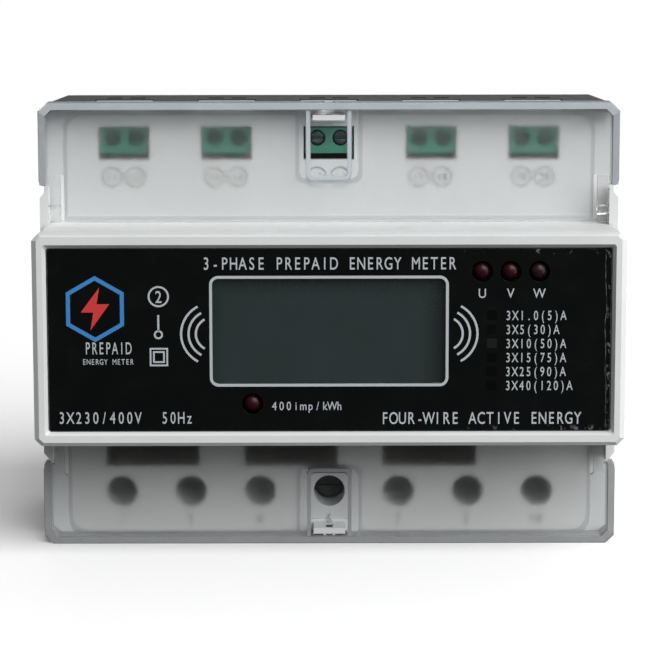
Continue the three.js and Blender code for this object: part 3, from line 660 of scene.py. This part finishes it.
def emblem():
    """A generic mark: a lightning bolt in a hexagon."""
    middle_x = -49.7 * MM
    middle_z = 6.4 * MM
    outer = 7.1 * MM
    stroke = 1.0 * MM
    hexagons = [arc((middle_x, middle_z), r, 30, 330, 5) for r in (outer, outer - stroke)]
    piece("emblem_hexagon", [ink(*hexagons)], "ink_blue", "meter_body", "label_black")
    size = 1.05 * MM
    bolt = [(0.9, 4.4), (-2.9, -0.7), (-0.35, -0.7), (-1.0, -4.4), (2.9, 1.0), (0.35, 1.0)]
    points = [(middle_x + x * size, middle_z + z * size) for x, z in bolt]
    piece("emblem_bolt", [ink(points)], "ink_red", "meter_body", "label_black")


def display_border():
    """The silver line round the display, over the edge of its opening."""
    reach, corner, stroke = 0.45 * MM, 1.9 * MM, 0.6 * MM
    low = (WINDOW_LOW.x - reach, WINDOW_LOW.z - reach)
    high = (WINDOW_HIGH.x + reach, WINDOW_HIGH.z + reach)
    return frame_line(low, high, corner, stroke)


def label_printing():
    printing = label_words() + ratings() + left_symbols() + card_waves()
    piece("label_print", printing, "ink", "meter_body", "label_black")
    piece("display_border", [display_border()], "ink", "meter_body", "label_black")
    emblem()


# ---------------------------------------------------------------- terminal covers
COVER_BODIES = {1: "upper_cover", -1: "lower_cover"}
COVER_NODES = {1: "upper_terminal_cover", -1: "lower_terminal_cover"}
SEAL_HOLE_SHADES = {1: "seal_hole_shade_upper", -1: "seal_hole_shade_lower"}
# The side walls and the whole lower cover take darker copies of the cloudy plastic, as painted shade.
END_FINISHES = {1: "cloudy_plastic", -1: "cloudy_plastic_low_painted_shade"}
WALL_FINISHES = {1: "cloudy_plastic_side_painted_shade", -1: "cloudy_plastic_low_painted_shade"}
COVER_PLATE = 1.4 * MM
COVER_RIM = 1.55 * MM
COVER_RIM_LENGTH = 17.95 * MM
CORE_INSET = 0.12 * MM
FROST_LINE = 0.9 * MM
FROST_BEHIND_PLATE = 0.02 * MM
FROST_THICKNESS = 0.06 * MM


def frosted_outline(side, inset):
    """The frosted area of a cover: all of its plate but the clear rim and the seal pocket."""
    low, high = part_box(COVER_NODES[side])
    near, far = (low.z, high.z) if side > 0 else (high.z, low.z)
    foot_margin, rim_margin, pocket_reach = 0.4 * MM, 1.85 * MM, 16.65 * MM
    foot = near + (foot_margin + inset) * side
    edge = far - (rim_margin + inset) * side
    half_x = 57.7 * MM - inset
    corner = 3.6 * MM * side
    pocket_x = 6.4 * MM + inset
    pocket_z = far - (pocket_reach + inset) * side
    pocket_corner = 2 * MM * side
    inner = half_x - abs(corner)
    right_corner = arc((inner, edge - corner), abs(corner), 0, 90 * side)
    left_corner = arc((-inner, edge - corner), abs(corner), 90 * side, 180 * side)
    turn = pocket_x - abs(pocket_corner)
    right_pocket = arc((turn, pocket_z + pocket_corner), abs(pocket_corner), 0, -90 * side)
    left_pocket = arc((-turn, pocket_z + pocket_corner), abs(pocket_corner), -90 * side, -180 * side)
    outline = [(half_x, foot), *right_corner, (pocket_x, edge), *right_pocket, *left_pocket]
    return outline + [(-pocket_x, edge), *left_corner, (-half_x, foot)]


def frosted_field(side, inset):
    """The field inside its border line, or with an inset of 0 the border line round it."""
    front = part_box(COVER_NODES[side])[0].y + COVER_PLATE + FROST_BEHIND_PLATE
    outlines = [frosted_outline(side, inset)]
    if inset == 0:
        outlines.append(frosted_outline(side, FROST_LINE))
    return plate(outlines, front, front + FROST_THICKNESS)


def rim_core(side):
    """The cloudy inside of a cover's end wall, in two halves and a bridge before the sealing wire's way."""
    low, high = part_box(COVER_NODES[side])
    height = max(abs(low.z), abs(high.z))
    outer_x, outer_z = high.x - CORE_INSET, height - CORE_INSET
    inner_x, inner_z = high.x - COVER_RIM + CORE_INSET, height - COVER_RIM + CORE_INSET
    outer_cut, inner_cut = 1.85 * MM, 1.45 * MM
    wire_way, bridge_gap, bridge_depth = 1.3 * MM, 0.02 * MM, 1.4 * MM
    half = [(wire_way, outer_z), (outer_x - outer_cut, outer_z), (outer_x, outer_z - outer_cut),
            (inner_x, inner_z - inner_cut), (inner_x - inner_cut, inner_z), (wire_way, inner_z)]
    halves = [[(x * hand, z * side) for x, z in half] for hand in SIDES]
    shapes = [plate([outline], low.y + CORE_INSET, high.y - CORE_INSET) for outline in halves]
    bridge_half_z = (outer_z - inner_z) / 2
    bridge = around(0, (outer_z + inner_z) / 2 * side, wire_way - bridge_gap, bridge_half_z)
    return [*shapes, plate([bridge], low.y + CORE_INSET, low.y + bridge_depth)]


def side_cores(side):
    """The cloudy insides of a cover's side walls, from the corner to the hinge cheek."""
    low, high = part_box(COVER_NODES[side])
    height = max(abs(low.z), abs(high.z))
    outer_x, inner_x = high.x - CORE_INSET, high.x - COVER_RIM + CORE_INSET
    outer_drop, inner_drop = 2.02 * MM, 1.38 * MM
    outer_z, inner_z = height - outer_drop, height - COVER_RIM - inner_drop
    foot = height - COVER_RIM_LENGTH + CORE_INSET
    wall = [(outer_x, outer_z), (outer_x, foot), (inner_x, foot), (inner_x, inner_z)]
    walls = [[(x * hand, z * side) for x, z in wall] for hand in SIDES]
    return [plate([outline], low.y + CORE_INSET, high.y - CORE_INSET) for outline in walls]


def pocket_core(side):
    """The cloudy inside of the seal pocket's wall, a U that opens to the cover's rim."""
    low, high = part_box(COVER_NODES[side])
    height = max(abs(low.z), abs(high.z))
    length = 16.75 * MM
    top, bottom = height - COVER_RIM, height - length
    outer_x, inner_x = 4.9 * MM, 4.1 * MM
    wall = outer_x - inner_x
    round_out, round_in = 1.5 * MM, 0.8 * MM
    front, depth = low.y + 0.6 * MM, 3.5 * MM
    left = [(-outer_x, top), *arc((-outer_x + round_out, bottom + round_out), round_out, 180, 270)]
    right = [*arc((outer_x - round_out, bottom + round_out), round_out, 270, 360), (outer_x, top)]
    floor_z = bottom + wall
    back = [(inner_x, top), *arc((inner_x - round_in, floor_z + round_in), round_in, 0, -90)]
    back += [*arc((-inner_x + round_in, floor_z + round_in), round_in, 270, 180), (-inner_x, top)]
    outline = [(x, z * side) for x, z in left + right + back]
    return plate([outline], front, front + depth)


def tongue_frosting(side):
    """The grained faces of a cover's two hinge tongues."""
    low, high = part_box(COVER_NODES[side])
    middle_x, half_x, half_z, corner = 59.45 * MM, 1 * MM, 4.9 * MM, 0.3 * MM
    foot_margin = 0.3 * MM
    front_gap, thickness = 0.01 * MM, 0.06 * MM
    middle_z = (min(abs(low.z), abs(high.z)) + foot_margin + half_z) * side
    tongues = [around(middle_x * hand, middle_z, half_x, half_z, corner) for hand in SIDES]
    return [plate([tongue], low.y - front_gap - thickness, low.y - front_gap) for tongue in tongues]


def seal_plug(side):
    """Painted shade: a dark block in the sealing wire's way through a lug, a little below both mouths, that
    darkens the hole.
    """
    near, far = (45.1 * MM, 45.85 * MM) if side > 0 else (45.75 * MM, 46.6 * MM)
    half_x = 0.62 * MM
    front, back = -42.8 * MM, -39.5 * MM
    outline = around(0, (near + far) / 2 * side, half_x, (far - near) / 2)
    return plate([outline], front, back)


def clear_covers():
    """Light reaches the shelves through the covers, as it does through thin clear plastic."""
    for side in SIDES:
        name, body, slot = COVER_NODES[side], COVER_BODIES[side], "clear_plastic"
        piece(f"{name}_rim_core", rim_core(side), END_FINISHES[side], body, slot)
        walls = piece(f"{name}_side_cores", side_cores(side), WALL_FINISHES[side], body, slot)
        pocket = piece(f"{name}_pocket_core", [pocket_core(side)], END_FINISHES[side], body, slot)
        # Painted shade: a dark block inside each lug's sealing-wire hole.
        piece(SEAL_HOLE_SHADES[side], [seal_plug(side)], "painted_shade_steel", "meter_body", "steel")
        grained = [frosted_field(side, FROST_LINE), *tongue_frosting(side)]
        field = piece(f"{name}_frosting", grained, "frosting", body, slot)
        # Painted shadow: the border line round the frosted field takes the darker frosting.
        line = piece(f"{name}_frosting_edge_painted_shade", [frosted_field(side, 0)], "frosting_edge_painted_shade", body, slot)
        for core in (walls, pocket):
            core.visible_shadow = False
        for shown in (frame["nodes"][name], field, line):
            shown.visible_shadow = False
            shown.visible_diffuse = False
    window = frame["nodes"]["display_window"]
    window.visible_shadow = False
    window.visible_diffuse = False


# ---------------------------------------------------------------- numbers on the shelves
RELIEF_FRONT = SHELF_FACE - 0.2 * MM
RELIEF_BACK = SHELF_FACE + 0.05 * MM


def raised(words, centre, pitch, height):
    """A number moulded in relief on a shelf, centred on a place."""
    left = centre[0] - pitch * len(words) / 2
    return lettering(words, left, centre[1] - height / 2, pitch, height, RELIEF_FRONT, RELIEF_BACK)


def shelf_numbers():
    """Terminal numbers moulded into the shelves, those of the signal terminals in rings."""
    main_z, main_pitch, main_height = -44.5 * MM, 1.8 * MM, 2.5 * MM
    signal_z, signal_pitch, signal_height = 32.2 * MM, 1.2 * MM, 1.7 * MM
    ring_outside, ring_inside = 2.2 * MM, 1.95 * MM
    meshes = []
    for number, screw in zip((1, 3, 4, 6, 7, 9, 10), numbered("main_screw", 7)):
        meshes += raised(str(number), (middle(screw).x, main_z), main_pitch, main_height)
    for number, screw in zip(range(11, 21), numbered("signal_screw", 10)):
        centre = (middle(screw).x, signal_z)
        meshes += raised(str(number), centre, signal_pitch, signal_height)
        outlines = [disc(centre, ring_outside), disc(centre, ring_inside)]
        meshes.append(plate(outlines, RELIEF_FRONT, RELIEF_BACK))
    # Painted shade: the numbers take a darker copy of the white plastic.
    piece("shelf_numbers", meshes, "white_relief_painted_shade", "meter_body", "white_plastic")


# ---------------------------------------------------------------- clip spring
def spring_coil():
    """A round-wire compression spring with closed ends, made at the size of the CAD one."""
    low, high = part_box("clip_spring")
    middle_x, middle_y = (low.x + high.x) / 2, (low.y + high.y) / 2
    wire = 0.3 * MM
    radius = (high.x - low.x) / 2 - wire
    bottom, top = low.z + wire, high.z - wire
    turns, closed, steps = 6.5, 0.75, 24
    curve = bpy.data.curves.new("spring_coil", "CURVE")
    curve.dimensions = "3D"
    curve.bevel_depth = wire
    curve.bevel_resolution = 3
    curve.use_fill_caps = True
    spline = curve.splines.new("POLY")
    spline.points.add(int(turns * steps))
    for step, point in enumerate(spline.points):
        turned = step / steps
        angle = 2 * math.pi * turned
        rise = min(max((turned - closed) / (turns - 2 * closed), 0), 1)
        point.co = (middle_x + radius * math.cos(angle), middle_y + radius * math.sin(angle),
                    bottom + (top - bottom) * rise, 1)
    return mesh_from(curve, Matrix.Identity(4))


def clip_spring():
    """The spring stands on the housing's ledge, where the rail clip comes down on it."""
    coil = piece("spring_coil", [spring_coil()], "steel", "meter_body", "steel", smooth=60)
    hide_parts("clip_spring")
    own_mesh(coil)


shelf_numbers()
clip_spring()
label_printing()
clear_covers()


# ---------------------------------------------------------------- floor, lights and camera
def floor():
    """A plain pale floor that takes shadows and is left out of reflections."""
    pale, paler = (0.98, 0.98, 0.98), (1, 1, 1)
    drift_size = 0.3
    half_width = 30
    made = Finish("floor", pale, 0.7)
    made.paint(made.mix(made.noise(drift_size, 2), pale, paler))
    mesh = bpy.data.meshes.new("floor")
    corners = [(x, z, FLOOR_Z) for x, z in around(0, 0, half_width, half_width)]
    mesh.from_pydata(corners, [], [(0, 1, 2, 3)])
    mesh.materials.append(made.material)
    ground = bpy.data.objects.new("floor", mesh)
    bpy.context.scene.collection.objects.link(ground)
    ground.visible_glossy = False
    ground.visible_diffuse = False
    ground.visible_transmission = False


def stand_lamp(name, lamp, azimuth, elevation, distance=0.5):
    """Stands a lamp so that it shines on the object from azimuth degrees right of the front."""
    turn, rise = math.radians(azimuth), math.radians(elevation)
    back = Vector((math.sin(turn) * math.cos(rise), -math.cos(turn) * math.cos(rise), math.sin(rise)))
    made = bpy.data.objects.new(name, lamp)
    made.location = back * distance
    made.rotation_mode = "QUATERNION"
    made.rotation_quaternion = (-back).to_track_quat("-Z", "Y")
    bpy.context.scene.collection.objects.link(made)


def sun(name, azimuth, elevation, strength, spread):
    """A distant lamp whose disc is spread degrees wide."""
    lamp = bpy.data.lights.new(name, "SUN")
    lamp.energy = strength
    lamp.angle = math.radians(spread)
    stand_lamp(name, lamp, azimuth, elevation)


def softbox(name, azimuth, elevation, strength, distance, size):
    """A square lamp near the object."""
    lamp = bpy.data.lights.new(name, "AREA")
    lamp.energy = strength
    lamp.shape = "SQUARE"
    lamp.size = size
    stand_lamp(name, lamp, azimuth, elevation, distance)


def studio():
    """A soft sky, darker at the left, over ground that is pale only behind the object, and three lamps."""
    scene = bpy.context.scene
    world = bpy.data.worlds.new("studio")
    world.use_nodes = True
    nodes, links = world.node_tree.nodes, world.node_tree.links
    heading = nodes.new("ShaderNodeSeparateXYZ")
    links.new(nodes.new("ShaderNodeTexCoord").outputs["Generated"], heading.inputs[0])

    def ramp(axis, low, high, to_low, to_high):
        made = nodes.new("ShaderNodeMapRange")
        for socket, number in zip(RAMP_SOCKETS, (low, high, to_low, to_high)):
            made.inputs[socket].default_value = number
        links.new(heading.outputs[axis], made.inputs["Value"])
        return made.outputs["Result"]

    def combine(operation, first, second):
        made = nodes.new("ShaderNodeMath")
        made.operation = operation
        links.new(first, made.inputs[0])
        links.new(second, made.inputs[1])
        return made.outputs[0]

    sky = combine("MULTIPLY", ramp("Z", -0.1, 0.3, 0.1, 0.35), ramp("X", -0.9, 0.2, 0.3, 1))
    pale_ground = combine("MULTIPLY", ramp("Y", 0, 0.3, 0, 0.85), ramp("Z", -0.02, 0.02, 1, 0))
    links.new(combine("ADD", sky, pale_ground), nodes["Background"].inputs["Strength"])
    nodes["Background"].inputs["Color"].default_value = (1, 1, 1, 1)
    scene.world = world
    scene.view_settings.view_transform = "Standard"
    sun("key", azimuth=32, elevation=39, strength=3.7, spread=56)
    sun("back", azimuth=160, elevation=50, strength=0.3, spread=50)
    softbox("right", azimuth=62, elevation=-4, strength=0.5, distance=0.36, size=0.2)


def camera():
    """The view: almost square on, from a little above."""
    target = Vector((-0.9, -50, 1.04)) * MM
    distance = 590.9 * MM
    focal_length = 151
    azimuth, elevation, roll = (math.radians(angle) for angle in (-0.046, 8.904, -0.093))
    level = math.cos(elevation)
    back = Vector((math.sin(azimuth) * level, -math.cos(azimuth) * level, math.sin(elevation)))
    lens = bpy.data.cameras.new("camera")
    lens.lens = focal_length
    made = bpy.data.objects.new("camera", lens)
    turn = (-back).to_track_quat("-Z", "Y").to_matrix().to_4x4() @ Matrix.Rotation(roll, 4, "Z")
    made.matrix_world = Matrix.Translation(target + back * distance) @ turn
    bpy.context.scene.collection.objects.link(made)
    bpy.context.scene.camera = made


floor()
studio()
camera()
